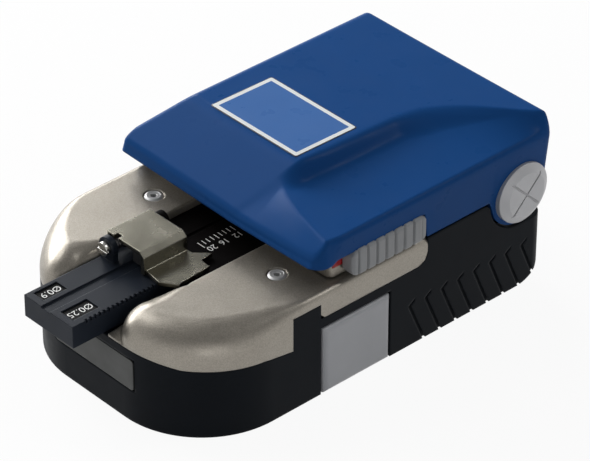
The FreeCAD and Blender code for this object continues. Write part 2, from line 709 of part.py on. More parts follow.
def make_drawer():
    panel = block("drawer_panel", (half_width - wall + 0.3, drawer_front_y, 0.2),
                  (half_width + 0.5, drawer_back_y, 14.7))
    soft = round_part("drawer_panel_round", panel, 1.0,
                      lambda edge: span(edge, "x")[1] - span(edge, "x")[0] < 0.02
                      and lies_at(edge, "x", half_width.value + 0.5))
    node("drawer_front", soft)
    tray = block("tray_blank", (-20, -12.0, 2.8), (half_width - wall + 0.3, 2.8, 7.8))
    hollow = block("tray_hollow", (-18.8, -10.8, 3.8), (half_width - wall - 0.8, 1.6, 20))
    node("drawer_tray", cut("tray", tray, [hollow]))


# ---------------------------------------------------------------- fibre clamp

FLANGE = [(-0.9, -31.2), (4.1, -32.0), (7.4, -29.9), (7.0, -28.8), (6.6, -21.95), (4.1, -21.7),
          (3.8, -18.8), (1.3, -21.4), (-0.9, -21.5)]
HOOD_TOP = 26.0
PLATE = 0.9
KNUCKLE_FRONT = -29.4


def make_clamp():
    body = new_body("clamp_plate_body")
    section = sketch_on(body, "hood_section", "XZ_Plane", 21.5)
    flange_bottom = guide_top + 0.3
    polygon(section, [(-10.3, HOOD_TOP - PLATE), (-10.3, HOOD_TOP), (-1.0, HOOD_TOP),
                      (0.0, HOOD_TOP - 1.0), (0.0, flange_bottom), (-0.9, flange_bottom),
                      (-0.9, HOOD_TOP - PLATE)])
    pad(body, section, 10.4)
    flange = sketch_on(body, "flange_outline", "XY_Plane", flange_bottom)
    polygon(flange, FLANGE)
    pad(body, flange, PLATE)
    notch = sketch_on(body, "hood_notch", "XY_Plane", HOOD_TOP - 3)
    rectangle(notch, (-8.4, -33), (-7.0, -30.9))
    pocket(body, notch, 5)
    node("clamp_plate", body)

    barrel = rod("knuckle_barrel", "Y", (clamp_axis_x, KNUCKLE_FRONT, clamp_axis_z), 7.8, 1.55)
    bridge = block("knuckle_bridge", (clamp_axis_x - 1, KNUCKLE_FRONT, clamp_axis_z),
                   (clamp_axis_x + 4, -22.0, HOOD_TOP - PLATE))
    bore = rod("knuckle_bore", "Y", (clamp_axis_x, -35, clamp_axis_z), 20, 0.85)
    node("clamp_knuckle", cut("knuckle", fuse("knuckle_blank", [barrel, bridge]), [bore]))
    node("clamp_pad", block("clamp_pad_block", (-4.9, -30.4, guide_top + 0.35),
                            (-1.2, -22.6, HOOD_TOP - PLATE)))


# ---------------------------------------------------------------- lid: cover

FRONT = -15.2
RIDGE_RIGHT = 33.4
SLOPE_END = 29.7
# How far the side and back walls stand out past the base at their ridge line.
FLARE = 0.7
BACK_FLARE = 0.7
# Per station along Y: the left ridge's height, then the across and up values of the left
# shoulder, of the flat top's right edge and of the crease along the right wing.
COVER_STATIONS = [
    (FRONT, 28.1, (-27.4, 28.1), (3.5, 28.1), (12.4, 35.5)),
    (-12.9, 29.5, (-27.4, SLOPE_END), (5.0, SLOPE_END), (12.4, 35.5)),
    (-1.6, 29.6, (-20.6, 37.3), (9.1, 37.3), (11.6, 35.4)),
    (20.3, 29.6, (-20.6, 37.1), (9.3, 37.1), (12.4, 35.1)),
    (27.2, 29.6, (-20.6, 36.9), (9.4, 36.9), (14.1, 35.2)),
    (36.6, 29.6, (-20.6, 36.6), (16.7, 36.6), (20.5, 35.5)),
    (45.0, 29.6, (-20.6, 36.3), (25.9, 36.3), (26.6, 36.0)),
]


def cover_section(station, inset):
    """One cross-section of the cover, seen along Y, moved inwards by inset."""
    y, left_ridge, shoulder, edge, crease = station
    if y == FRONT:
        y += inset
    elif y > half_length.value:
        y -= inset
    foot = half_width.value - 1.3 - inset
    half = half_width.value + FLARE - inset
    shoulder_x = max(shoulder[0] + 0.6 * inset, 0.1 - half)
    outline = [(-half, left_ridge), (shoulder_x, shoulder[1]), edge, (min(crease[0], half - 0.3), crease[1]),
               (half, RIDGE_RIGHT)]
    points = [Vector(-foot, y, 10)] + [Vector(x, y, z - inset) for x, z in outline] + [Vector(foot, y, 10)]
    return Part.makePolygon(points + points[:1])


def cover_solid(inset=0.0):
    return Part.makeLoft([cover_section(station, inset) for station in COVER_STATIONS], True, True)


def plan_block(inset=0.0):
    """An upright block that trims the cover's outline: its lip reaches further on the right."""
    half = half_width.value + FLARE - inset
    front_left, front_right = -12.1 + inset, -15.0 + inset
    back = half_length.value + BACK_FLARE - inset
    corners = [(-half, front_left), (half, front_right), (half, back), (-half, back)]
    points = [Vector(x, y, 0) for x, y in corners]
    shape = Part.Face(Part.makePolygon(points + points[:1])).extrude(Vector(0, 0, 60))
    front_edges = [edge for edge in shape.Edges if is_upright(edge) and span(edge, "y")[0] < 0]
    shape = shape.makeFillet(3.2 - 0.6 * inset, front_edges)
    back_edges = [edge for edge in shape.Edges if is_upright(edge) and lies_at(edge, "y", back)]
    shape = shape.makeFillet(2.2 - 0.8 * inset, back_edges)
    lean = [Vector(-60, back, RIDGE_RIGHT), Vector(-60, back - 2 * BACK_FLARE, 10),
            Vector(-60, back + 5, 10)]
    return shape.cut(Part.Face(Part.makePolygon(lean + lean[:1])).extrude(Vector(120, 0, 0)))


def box_between(low, high):
    size = [end - start for start, end in zip(low, high)]
    return Part.makeBox(*size, Vector(*low))


def facet_cutter(inset=0.0):
    """Everything in front of the flat that slopes back over the cover's right front corner."""
    corners = [Vector(8.2, -13.3, 29.6), Vector(25.9, -11.4, 33.7), Vector(24.5, -14.7, 28.7)]
    normal = (corners[1] - corners[0]).cross(corners[2] - corners[0]).normalize()
    if normal.y > 0:
        normal = normal * -1
    face = Part.makePlane(80, 80, corners[0], normal)
    face.translate(corners[0] - normal * inset - face.CenterOfMass)
    return face.extrude(normal * 30)


def make_cover():
    """A moulded shell: flat top, a ramp down to the front lip, a slope on the left, a wing on the right."""
    half = half_width.value
    inset = cover_wall.value
    axis = Vector(0, hinge_y.value, hinge_z.value)
    outer = cover_solid().common(plan_block()).cut(facet_cutter())
    inner = cover_solid(inset).common(plan_block(inset)).cut(facet_cutter(inset))
    shell = outer.cut(inner)
    shell = shell.cut(box_between((-60, -60, 0), (60, 60, frame_bottom.value)))
    shell = shell.cut(box_between((-60, -60, 0), (60, frame_front.value - 1.4, 27.0)))
    shell = shell.cut(box_between((half - 4, frame_front.value - 2.0, 0), (60, 12.8, 29.7)))
    for x, y in both_sides([(19.0, -3.0), (19.0, 25.0)]):
        boss = Part.makeCylinder(2.0, 20, Vector(x, y, frame_top.value)).common(inner)
        shell = shell.fuse(boss)
        shell = shell.cut(Part.makeCylinder(0.8, 6, Vector(x, y, frame_top.value)))
    for side in (-1, 1):
        start = 24.3 if side > 0 else -half
        lobe = Part.makeCylinder(lobe_radius.value, half - 24.3, axis + Vector(start, 0, 0), Vector(1, 0, 0))
        shell = shell.fuse(lobe)
    for side in (-1, 1):
        seat_start = 26.6 if side > 0 else -26.6 - 5
        shell = shell.cut(Part.makeCylinder(cap_radius.value + 0.4, 5, axis + Vector(seat_start, 0, 0),
                                            Vector(1, 0, 0)))
    shell = shell.cut(Part.makeCylinder(2.6, 80, axis - Vector(40, 0, 0), Vector(1, 0, 0)))
    label_low = (fibre_x.value - label_half.value, label_front.value, cover_top.value - 0.6)
    label_high = (fibre_x.value + label_half.value, label_back.value, cover_top.value + 1)
    shell = shell.cut(box_between(label_low, label_high)).removeSplitter()
    feature = doc.addObject("Part::Feature", "cover_shell")
    feature.Shape = shell
    node("cover", feature)


def make_lid_frame():
    body = new_body("lid_frame_body")
    plan = sketch_on(body, "frame_plan", "XY_Plane", frame_bottom)
    rectangle(plan, (-frame_half, frame_front), (frame_half, frame_back))
    pad(body, plan, frame_top - frame_bottom)
    round_edges(body, "frame_back_corners", 2.6,
                lambda edge: is_upright(edge) and lies_at(edge, "y", frame_back.value))
    round_edges(body, "frame_front_corners", 1.4,
                lambda edge: is_upright(edge) and lies_at(edge, "y", frame_front.value))
    hollow = sketch_on(body, "frame_hollow", "XY_Plane", frame_bottom - 1)
    rectangle(hollow, (-frame_half + 2, frame_front + 2), (frame_half - 2, frame_back - 2))
    pocket(body, hollow, frame_web - frame_bottom + 1)
    windows = sketch_on(body, "frame_windows", "XY_Plane", frame_web - 1)
    rectangle(windows, (5, 2), (16, 27))
    rectangle(windows, (-16, 13), (0, 27))
    pocket(body, windows, 10)
    holes = sketch_on(body, "frame_screw_holes", "XY_Plane", frame_web - 1)
    for spot in both_sides([(19.0, -3.0), (19.0, 25.0)]):
        circle(holes, spot, 0.9)
    pocket(body, holes, 10)
    lock_slot = sketch_on(body, "frame_lock_slot", "YZ_Plane", frame_half - 3)
    rectangle(lock_slot, (-3.7, 24.4), (7.0, 26.6))
    pocket(body, lock_slot, 10)
    node("lid_frame", body)


def make_lid_pieces():
    node("label_plate", block("label_plate_block",
                              (fibre_x - label_half + 0.1, label_front + 0.1, cover_top - 0.6),
                              (fibre_x + label_half - 0.1, label_back - 0.1, cover_top - 0.15)))
    node("red_mark", block("red_mark_block", (frame_half, -8.7, 25.0), (frame_half + 0.2, -3.8, 27.6)))
    node("anvil", block("anvil_block", (fibre_x - 1.2, blade_y - 0.8, fibre_z + 0.3),
                        (fibre_x + 1.2, blade_y + 0.8, frame_web)))
    clamps = []
    pads = []
    for low, high in CLAMP_SPANS.values():
        clamps.append(block("upper_clamp_block", (CLAMP_LEFT + 0.4, low + 0.2, 22.6),
                            (CLAMP_RIGHT - 0.4, high - 0.2, frame_web)))
        pads.append(block("upper_pad", (CLAMP_LEFT + 0.8, low + 0.4, fibre_z + 0.15),
                          (CLAMP_RIGHT - 0.8, high - 0.4, 22.6)))
    node("upper_clamps", group("upper_clamp_pair", clamps))
    node("upper_pads", group("upper_pad_pair", pads))
    screws = [cap_screw("lid_screw", spot, frame_web - 1.0, 1.5, 1.0, 0.8, 6.0, up=False)
              for spot in both_sides([(19.0, -3.0), (19.0, 25.0)])]
    node("lid_screws", group("lid_screw_set", screws))
    bushes = []
    for start in (-26.5, 24.4):
        tube = rod("hinge_bush_tube", "X", (start, hinge_y, hinge_z), 2.1, 2.6)
        hole = rod("hinge_bush_hole", "X", (start - 1, hinge_y, hinge_z), 5, hinge_pin_radius + 0.04)
        bushes.append(cut("hinge_bush", tube, [hole]))
    node("hinge_bushes", group("hinge_bush_pair", bushes))
    node("lid_magnet", rod("lid_magnet_disc", "Z", (19.0, 11.0, 22.9), frame_web - 22.9, 2.2))
    node("strike_post", rod("strike_post_rod", "Z", (19.0, 11.0, chassis_top), 3.7, 1.9))


def make_lock_slider():
    """The sliding lock on the lid's right side, with finger ribs and a lug through the frame."""
    low = (frame_half + 0.3, -6.0, 23.7)
    high = (half_width - 0.2, 12.1, 28.3)
    bar = round_part("lock_bar", block("lock_bar_block", low, high), 1.5,
                     lambda edge: span(edge, "x")[1] - span(edge, "x")[0] > 1.0)
    lug = block("lock_lug", (frame_half - 2.6, -1.0, 24.7), (frame_half + 0.6, 3.5, 26.3))
    grooves = []
    for index in range(7):
        y = -3.6 + index * 2.3
        grooves.append(block("lock_groove", (half_width - 0.7, y, 20), (half_width + 5, y + 0.8, 40)))
    node("lock_slider", cut("lock", fuse("lock_blank", [bar, lug]), grooves))


# ---------------------------------------------------------------- build, check and write

make_lower_shell()
make_top_shell()
make_sole()
make_screws()
make_nose_panel()
make_chassis()
make_rear_apron()
make_guide_rods()
make_lower_clamps()
make_scale_bed()
make_fibre_guide()
make_clamp_pin()
make_springs()
make_hinge()
make_carriage()
make_blade()
make_drawer()
make_clamp()
make_cover()
make_lid_frame()
make_lid_pieces()
make_lock_slider()
doc.recompute()

for thing in doc.Objects:
    if "Invalid" in thing.State or "Error" in thing.State:
        raise RuntimeError(f"{thing.Label} did not build: {thing.State}")
os.makedirs("parts", exist_ok=True)
for label, thing in nodes.items():
    shape = thing.Shape
    if shape.isNull() or not shape.isValid() or not shape.Solids:
        raise RuntimeError(f"{label} is not a valid solid")
    shape.exportStep(f"parts/{label}.step")
    print(f"{label}: {len(shape.Solids)} solid(s), {shape.Volume:.1f} mm3")
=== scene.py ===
import math

import bpy
import numpy as np
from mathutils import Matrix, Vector


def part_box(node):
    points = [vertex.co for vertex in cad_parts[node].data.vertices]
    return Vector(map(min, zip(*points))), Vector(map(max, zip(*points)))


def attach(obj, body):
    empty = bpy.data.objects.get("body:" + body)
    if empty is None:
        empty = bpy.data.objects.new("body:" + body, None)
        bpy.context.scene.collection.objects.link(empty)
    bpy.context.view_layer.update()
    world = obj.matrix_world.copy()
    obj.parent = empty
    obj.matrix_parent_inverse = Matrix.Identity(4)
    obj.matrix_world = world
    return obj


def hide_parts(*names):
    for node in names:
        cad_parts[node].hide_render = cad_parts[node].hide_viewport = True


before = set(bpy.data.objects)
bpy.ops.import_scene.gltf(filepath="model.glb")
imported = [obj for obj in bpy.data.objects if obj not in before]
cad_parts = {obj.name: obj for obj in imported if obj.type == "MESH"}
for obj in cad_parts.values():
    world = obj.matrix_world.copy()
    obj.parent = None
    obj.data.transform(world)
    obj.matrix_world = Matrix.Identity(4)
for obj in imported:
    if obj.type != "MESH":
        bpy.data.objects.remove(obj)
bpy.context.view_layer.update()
MM = 0.001


# ---------------------------------------------------------------- lower shell
# The tub that everything is screwed into.  Injection-moulded black plastic from a
# spark-eroded tool, so its skin is satin with a very fine grain.

MOTTLE_CELLS, SHEEN_CELLS, SCUFF_AND_HIGHLIGHT_CELLS = 95, 260, 420
SHEEN_SPREAD, GRAIN_HEIGHT = 0.06, 0.00005


def fine_finish(name, colour, rough, metal=0.0, grain=3200.0, grain_depth=0.10, mottle=0.10,
                edge_wear_and_highlight=0.2, round_off=0.22, specular=0.5):
    """Colour = the base times 1 plus or minus mottle of slow noise, lightened where the
    normal rounded over round_off mm leaves the true normal: rubbed edges, and a painted
    highlight along them.  Roughness = rough plus or minus slow noise.  Height = fast
    noise.  Noise is in cells a metre.
    Gives the material, its last colour node and its last height node."""
    skin = bpy.data.materials.new(name)
    skin.use_nodes = True
    nodes, links = skin.node_tree.nodes, skin.node_tree.links
    shader = nodes["Principled BSDF"]
    shader.inputs["Metallic"].default_value = metal
    shader.inputs["Specular IOR Level"].default_value = specular
    place = nodes.new("ShaderNodeTexCoord").outputs["Object"]

    def noise(scale, detail):
        cloud = nodes.new("ShaderNodeTexNoise")
        cloud.inputs["Scale"].default_value = scale
        cloud.inputs["Detail"].default_value = detail
        links.new(place, cloud.inputs["Vector"])
        return cloud.outputs["Fac"]

    def span(value, low, high, start=0.3, end=0.7):
        ramp = nodes.new("ShaderNodeMapRange")
        ramp.inputs["From Min"].default_value = start
        ramp.inputs["From Max"].default_value = end
        ramp.inputs["To Min"].default_value = low
        ramp.inputs["To Max"].default_value = high
        links.new(value, ramp.inputs["Value"])
        return ramp.outputs["Result"]

    rounded = nodes.new("ShaderNodeBevel")
    rounded.samples = 6
    rounded.inputs["Radius"].default_value = round_off * MM
    sharp = nodes.new("ShaderNodeNewGeometry")
    meet = nodes.new("ShaderNodeVectorMath")
    meet.operation = "DOT_PRODUCT"
    links.new(rounded.outputs["Normal"], meet.inputs[0])
    links.new(sharp.outputs["Normal"], meet.inputs[1])
    # Rounded edges are lightened: partly rubbed edges, partly a painted highlight along them.
    scuffs_and_highlight = nodes.new("ShaderNodeMath")
    scuffs_and_highlight.operation = "MULTIPLY"
    links.new(span(meet.outputs["Value"], edge_wear_and_highlight, 0.0, 0.75, 0.985), scuffs_and_highlight.inputs[0])
    links.new(span(noise(SCUFF_AND_HIGHLIGHT_CELLS, 3), 0.25, 1.0), scuffs_and_highlight.inputs[1])

    tone = nodes.new("ShaderNodeMix")
    tone.data_type = "RGBA"
    tone.inputs["A"].default_value = (*[c * (1 - mottle) for c in colour], 1)
    tone.inputs["B"].default_value = (*[min(c * (1 + mottle), 1) for c in colour], 1)
    links.new(span(noise(MOTTLE_CELLS, 4), 0.0, 1.0), tone.inputs["Factor"])
    # Mixed towards a lighter colour at the edges: rubbed edges and a painted highlight.
    wear_and_highlight = nodes.new("ShaderNodeMix")
    wear_and_highlight.data_type = "RGBA"
    wear_and_highlight.inputs["B"].default_value = (*[min(c * 2.2 + 0.05, 1) for c in colour], 1)
    links.new(scuffs_and_highlight.outputs["Value"], wear_and_highlight.inputs["Factor"])
    links.new(tone.outputs["Result"], wear_and_highlight.inputs["A"])
    links.new(wear_and_highlight.outputs["Result"], shader.inputs["Base Color"])
    sheen = span(noise(SHEEN_CELLS, 3), max(rough - SHEEN_SPREAD, 0.03), rough + SHEEN_SPREAD)
    links.new(sheen, shader.inputs["Roughness"])

    texture = nodes.new("ShaderNodeBump")
    texture.inputs["Strength"].default_value = grain_depth
    texture.inputs["Distance"].default_value = GRAIN_HEIGHT
    links.new(noise(grain, 2), texture.inputs["Height"])
    links.new(rounded.outputs["Normal"], texture.inputs["Normal"])
    links.new(texture.outputs["Normal"], shader.inputs["Normal"])
    return skin, wear_and_highlight, texture


def paint(material, *names):
    """Gives this finish to every slot of the CAD nodes named."""
    for name in names:
        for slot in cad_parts[name].material_slots:
            slot.material = material


# Its rounded edges are lightened more than most: a painted highlight along them, with some rubbing.
black_plastic = fine_finish("black_plastic", (0.0062, 0.0080, 0.0108), 0.38, specular=0.04, edge_wear_and_highlight=0.35,
                            round_off=0.6)[0]
paint(black_plastic, "lower_shell", "rear_apron", "clamp_knuckle", "drawer_tray")


# ---------------------------------------------------------------- rubber sole and pads
# A non-slip sheet let into the underside, and the pads that grip the fibre.  Moulded
# rubber, dull, with a coarse grain.

rubber = fine_finish("rubber", (0.028, 0.028, 0.030), 0.78, grain=1800, grain_depth=0.35,
                     mottle=0.22, specular=0.3)[0]
paint(rubber, "rubber_sole", "lower_pads", "upper_pads", "clamp_pad")


# ---------------------------------------------------------------- deck
# The front half of the top, with the channel that the fibre guide lies in and a rail
# along each side.  Pressed aluminium in a champagne metallic lacquer, coarse enough that
# single flakes glint, held to the shell by two screws.

FLAKE_TILT, FLAKE_HEIGHT = 0.35, 0.00004


def flaked(name, colour, rough, flakes, depth):
    """A fine finish whose colour is also times 1 plus or minus depth by flake, each cell
    of a Voronoi pattern being one flake, and whose height follows the same cells.
    Flakes is in cells a metre."""
    skin, wear_and_highlight, texture = fine_finish(name, colour, rough, metal=0.65, grain=2600, grain_depth=0.25,
                                      mottle=0.05, edge_wear_and_highlight=0.25, round_off=0.5)
    nodes, links = skin.node_tree.nodes, skin.node_tree.links
    shader = nodes["Principled BSDF"]
    place = nodes["Texture Coordinate"].outputs["Object"]
    cells = nodes.new("ShaderNodeTexVoronoi")
    cells.inputs["Scale"].default_value = flakes
    links.new(place, cells.inputs["Vector"])
    share = nodes.new("ShaderNodeSeparateColor")
    links.new(cells.outputs["Color"], share.inputs["Color"])
    level = nodes.new("ShaderNodeMapRange")
    level.inputs["To Min"].default_value = 1 - depth
    level.inputs["To Max"].default_value = 1 + depth
    links.new(share.outputs["Red"], level.inputs["Value"])
    glint = nodes.new("ShaderNodeMix")
    glint.data_type = "RGBA"
    glint.blend_type = "MULTIPLY"
    glint.inputs["Factor"].default_value = 1.0
    links.new(wear_and_highlight.outputs["Result"], glint.inputs["A"])
    links.new(level.outputs["Result"], glint.inputs["B"])
    links.new(glint.outputs["Result"], shader.inputs["Base Color"])
    tilt = nodes.new("ShaderNodeBump")
    tilt.inputs["Strength"].default_value = FLAKE_TILT
    tilt.inputs["Distance"].default_value = FLAKE_HEIGHT
    links.new(share.outputs["Green"], tilt.inputs["Height"])
    links.new(texture.outputs["Normal"], tilt.inputs["Normal"])
    links.new(tilt.outputs["Normal"], shader.inputs["Normal"])
    return skin


champagne = flaked("champagne_lacquer", (0.300, 0.275, 0.235), 0.34, 6500, 0.13)
paint(champagne, "top_shell", "lid_frame")


def piece(name, body, slot, material, verts, faces):
    """A finished piece from its points (in mm) and faces, riding on a CAD body."""
    mesh = bpy.data.meshes.new(name)
    mesh.from_pydata((np.asarray(verts, float) * MM).tolist(), [], faces)
    mesh.materials.append(material)
    thing = bpy.data.objects.new(name, mesh)
    bpy.context.scene.collection.objects.link(thing)
    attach(thing, body)
    return thing


def grid_faces(rows, columns):
    """Quads between each ring of points and the next, the rings being closed."""
    r, c = np.meshgrid(np.arange(rows - 1), np.arange(columns), indexing="ij")
    n = (c + 1) % columns
    return np.stack([r * columns + c, (r + 1) * columns + c, (r + 1) * columns + n, r * columns + n],
                    -1).reshape(-1, 4)


def end_caps(rows, columns):
    """The face over each end of such rings: the first ring, and the last one reversed."""
    last = (rows - 1) * columns
    return [list(range(columns)), list(range(last, last + columns))[::-1]]


def eased(share):
    """Three times the square less twice the cube, which starts and ends level."""
    return share * share * (3 - 2 * share)


# Sizes in mm.  The part line is where the deck meets the shell, and the notch is where it
# steps up on each side; the side's underneath lies at SIDE_Z behind it.
DECK_TOP, DECK_HALF, NOSE_Y, NOSE_R = 22.5, 27.5, -44.3, 19.0
SEAT_X, SEAT_Y, SEAT_R, SEAT_DEPTH = 17.25, -14.9, 1.95, 1.2
RAIL_ROUND, NOSE_ROUND_MORE, NOSE_TURN = 1.5, 4.9, 17.0
CHANNEL_ROUND, MOUTH_ROUND_MORE, MOUTH_START, MOUTH_TURN = 0.3, 5.0, -27.5, 10.0
TURN_RIGHT, TURN_LEFT = -15.0, -23.0
PART_LINE_Y, PART_LINE_Z = (-44.3, -40.5, -27, -20.2), (16.1, 15.0, 14.4, 13.3)
NOTCH_START, NOTCH_END, NOTCH_Z, SIDE_Z = -20.2, -13.4, 20.4, 17.2
MOUTH_Y = (-37.5, -35, -31.5, -29)


def deck_edge(y):
    """How far out the deck reaches at y: a straight side that turns into the round nose."""
    past = np.clip(NOSE_Y + NOSE_R - y, 0, NOSE_R)
    return DECK_HALF - NOSE_R + np.sqrt(NOSE_R ** 2 - past ** 2)


def deck_height(x, y, channel, turn_y):
    """Height = the flat top less a quarter-round drop.  Towards the outer edge the drop's
    radius grows, from turn_y on, from the rails' 1.5 to 6.4; towards the channel it grows
    from 0.3 to 5.3 at the nose.  Where both apply, their shares add as squares."""
    outer_r = RAIL_ROUND + NOSE_ROUND_MORE * eased(np.clip((turn_y - y) / NOSE_TURN, 0, 1))
    mouth = eased(np.clip((MOUTH_START - y) / MOUTH_TURN, 0, 1))
    inner_r = CHANNEL_ROUND + MOUTH_ROUND_MORE * mouth
    corner_x = np.maximum(x - (DECK_HALF - NOSE_R), 0)
    corner_y = np.maximum(NOSE_Y + NOSE_R - y, 0)
    inside = np.where(corner_y > 0, NOSE_R - np.hypot(corner_x, corner_y), DECK_HALF - x)
    outer = np.clip(1 - inside / outer_r, 0, 1)
    inner = np.clip(1 - (x - channel) / inner_r, 0, 1)
    both = np.clip(outer ** 2 + inner ** 2, 1e-9, 1)
    radius = (outer_r * outer ** 2 + inner_r * inner ** 2) / np.maximum(outer ** 2 + inner ** 2, 1e-9)
    return DECK_TOP - radius * (1 - np.sqrt(1 - both))


def closed_faces(rows, columns, side):
    """The quads and end caps of a closed bar, each turned over where it is mirrored."""
    faces = grid_faces(rows, columns).tolist() + end_caps(rows, columns)
    return faces if side > 0 else [face[::-1] for face in faces]


def deck_half(side):
    """One half of the deck as closed cross-sections along Y.  Across each, the points run
    over the top from the channel to the side, down the side to the part line and back
    under.  The channel widens behind its mouth.  Points near the screw seat's circle are
    drawn onto it, and those inside it are sunk."""
    rows = np.concatenate([NOSE_Y + 24.3 * np.linspace(0, 1, 100) ** 1.35, np.linspace(-19.9, -17.1, 8),
                           np.linspace(-17.0, -12.8, 56), np.linspace(-12.5, -5.0, 12)])
    rows = np.sort(np.concatenate([rows, [-20.22, -20.18, -13.42, -13.38]]))
    line = np.interp(rows, PART_LINE_Y, PART_LINE_Z)
    line = np.where(rows > NOTCH_START, NOTCH_Z, line)
    line = np.where(rows > NOTCH_END, SIDE_Z, line)
    gap, tight, turn_y = (8.5, 4.4, TURN_RIGHT) if side > 0 else (11.0, 10.9, TURN_LEFT)
    channel = np.interp(rows, MOUTH_Y, (tight, tight * 0.8 + gap * 0.2,
                                        tight * 0.35 + gap * 0.65, gap))
    edge = deck_edge(rows)
    share = np.concatenate([0.35 * np.linspace(0, 1, 26) ** 1.4, np.linspace(0.36, 0.6, 62),
                            1 - 0.4 * np.linspace(1, 0, 36)[1:] ** 1.5])
    x = channel[:, None] + (edge - channel)[:, None] * share
    y = np.repeat(rows[:, None], len(share), 1)
    z = deck_height(x, y, channel[:, None], turn_y)
    z = np.maximum(z, line[:, None] + 0.02)
    off_x, off_y = x - SEAT_X, y - SEAT_Y
    away = np.hypot(off_x, off_y)
    near = np.abs(away - SEAT_R) < 0.07
    pull = np.where(near, SEAT_R / np.maximum(away, 1e-6), 1.0)
    x, y = SEAT_X + off_x * pull, SEAT_Y + off_y * pull
    z = np.where(away < SEAT_R, DECK_TOP - SEAT_DEPTH, z)
    foot = np.stack([x[:, -1], y[:, -1], line], 1)[:, None]
    heel = np.stack([x[:, 0], y[:, 0], line], 1)[:, None]
    loop = np.concatenate([np.stack([x, y, z], 2), foot, heel], 1)
    loop[:, :, 0] *= side
    return loop.reshape(-1, 3), closed_faces(*loop.shape[:2], side)


def box_points(low, high):
    """The corners and outward faces of a box."""
    x, y, z = zip(low, high)
    corners = [(x[i], y[j], z[k]) for i in (0, 1) for j in (0, 1) for k in (0, 1)]
    return np.array(corners), [[0, 1, 3, 2], [4, 6, 7, 5], [0, 4, 5, 1],
                               [2, 3, 7, 6], [0, 2, 6, 4], [1, 5, 7, 3]]


RAIL_IN, RAIL_CORNER, RAIL_CORNER_Y = 24.0, 2.4, 10.9


def rail_half(side):
    """The rail along one side: its section, with a rounded top edge, carried back to the
    lid's hinge side, where its lower corner is rounded off."""
    rows = np.concatenate([[-5.0, 0.0, 8.0],
                           np.linspace(RAIL_CORNER_Y, RAIL_CORNER_Y + RAIL_CORNER, 10)])
    past = np.maximum(rows - RAIL_CORNER_Y, 0)
    under = SIDE_Z + RAIL_CORNER - np.sqrt(np.maximum(RAIL_CORNER ** 2 - past ** 2, 0))
    turn = np.linspace(0, math.pi / 2, 12)
    x = np.concatenate([[RAIL_IN, RAIL_IN], DECK_HALF - RAIL_ROUND + RAIL_ROUND * np.sin(turn),
                        [DECK_HALF]])
    top = np.concatenate([[0.0, DECK_TOP], DECK_TOP - RAIL_ROUND + RAIL_ROUND * np.cos(turn), [0.0]])
    loop = np.stack([np.repeat(side * x[None], len(rows), 0), np.repeat(rows[:, None], len(x), 1),
                     np.where(top > 0, top, under[:, None])], 2)
    return loop.reshape(-1, 3), closed_faces(*loop.shape[:2], side)


def joined(parts):
    """Several sets of points and faces as one."""
    points, faces = [], []
    for part_points, part_faces in parts:
        start = sum(len(p) for p in points)
        points.append(np.asarray(part_points, float))
        faces += [[start + i for i in face] for face in part_faces]
    return np.concatenate(points), faces


def soften(thing, degrees):
    """Shades smoothly but keeps every edge sharper than this angle crisp."""
    thing.data.polygons.foreach_set("use_smooth", np.ones(len(thing.data.polygons), bool))
    thing.data.set_sharp_from_angle(angle=math.radians(degrees))


# The bridge crosses the channel at its back and joins the two halves.
BRIDGE_LOW, BRIDGE_HIGH = (-11.2, -7.8, 17.5), (8.7, -5.0, 20.9)
deck = piece("deck", "base", "champagne_lacquer", champagne,
             *joined([deck_half(1), deck_half(-1), rail_half(1), rail_half(-1),
                      box_points(BRIDGE_LOW, BRIDGE_HIGH)]))
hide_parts("top_shell")
soften(deck, 38)


# ---------------------------------------------------------------- deck screws
# Two socket screws in the deck's seats, one each side of the channel.  Turned and
# pressed from steel and nickel-plated, with a raised rim round the hexagon socket.

# The profile is rows of radius, height and 1 where the ring is part of the socket.
SCREW_AROUND, SCREW_SINK, SOCKET_FLAT = 48, 0.1, 0.93
HEAD_PROFILE = ((1.3, -1.15, 0), (1.86, -1.15, 0), (1.86, -0.22, 0), (1.8, -0.08, 0),
                (1.45, 0.16, 0), (1.3, 0.2, 0), (1.2, 0.12, 0), (0.85, 0.1, 0), (0.66, 0.1, 1),
                (0.58, 0.0, 1), (0.55, -0.75, 1), (0.02, -0.85, 0))


def turned_screw(x, y, z):
    """Rings whose radius and height follow the head's profile, those of the socket drawn
    to a hexagon: the radius times the flat over the cosine of the angle from the middle
    of that flat."""
    profile = np.array(HEAD_PROFILE)
    angle = np.arange(SCREW_AROUND) / SCREW_AROUND * 2 * math.pi
    hexagon = SOCKET_FLAT / np.cos((angle + math.pi / 6) % (math.pi / 3) - math.pi / 6)
    radius = profile[:, :1] * np.where(profile[:, 2:] > 0, hexagon, 1)
    ring = np.stack([x + radius * np.cos(angle), y + radius * np.sin(angle),
                     np.repeat(z + profile[:, 1:2], SCREW_AROUND, 1)], 2)
    return ring.reshape(-1, 3), closed_faces(len(profile), SCREW_AROUND, -1)


satin_nickel = fine_finish("satin_nickel", (0.46, 0.46, 0.46), 0.42, metal=0.45, grain=4200,
                           grain_depth=0.12, mottle=0.06, round_off=0.1)[0]
screws = piece("deck_screw_heads", "base", "nickel_steel", satin_nickel,
               *joined([turned_screw(side * SEAT_X, SEAT_Y, DECK_TOP - SCREW_SINK)
                        for side in (1, -1)]))
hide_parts("deck_screws")
soften(screws, 30)


# ---------------------------------------------------------------- fixed metal pieces
# The other screws, pins, rods, springs and the steel carrier.  Nickel-plated or ground
# steel, a carbide blade wheel, and sintered bronze in the bushes.

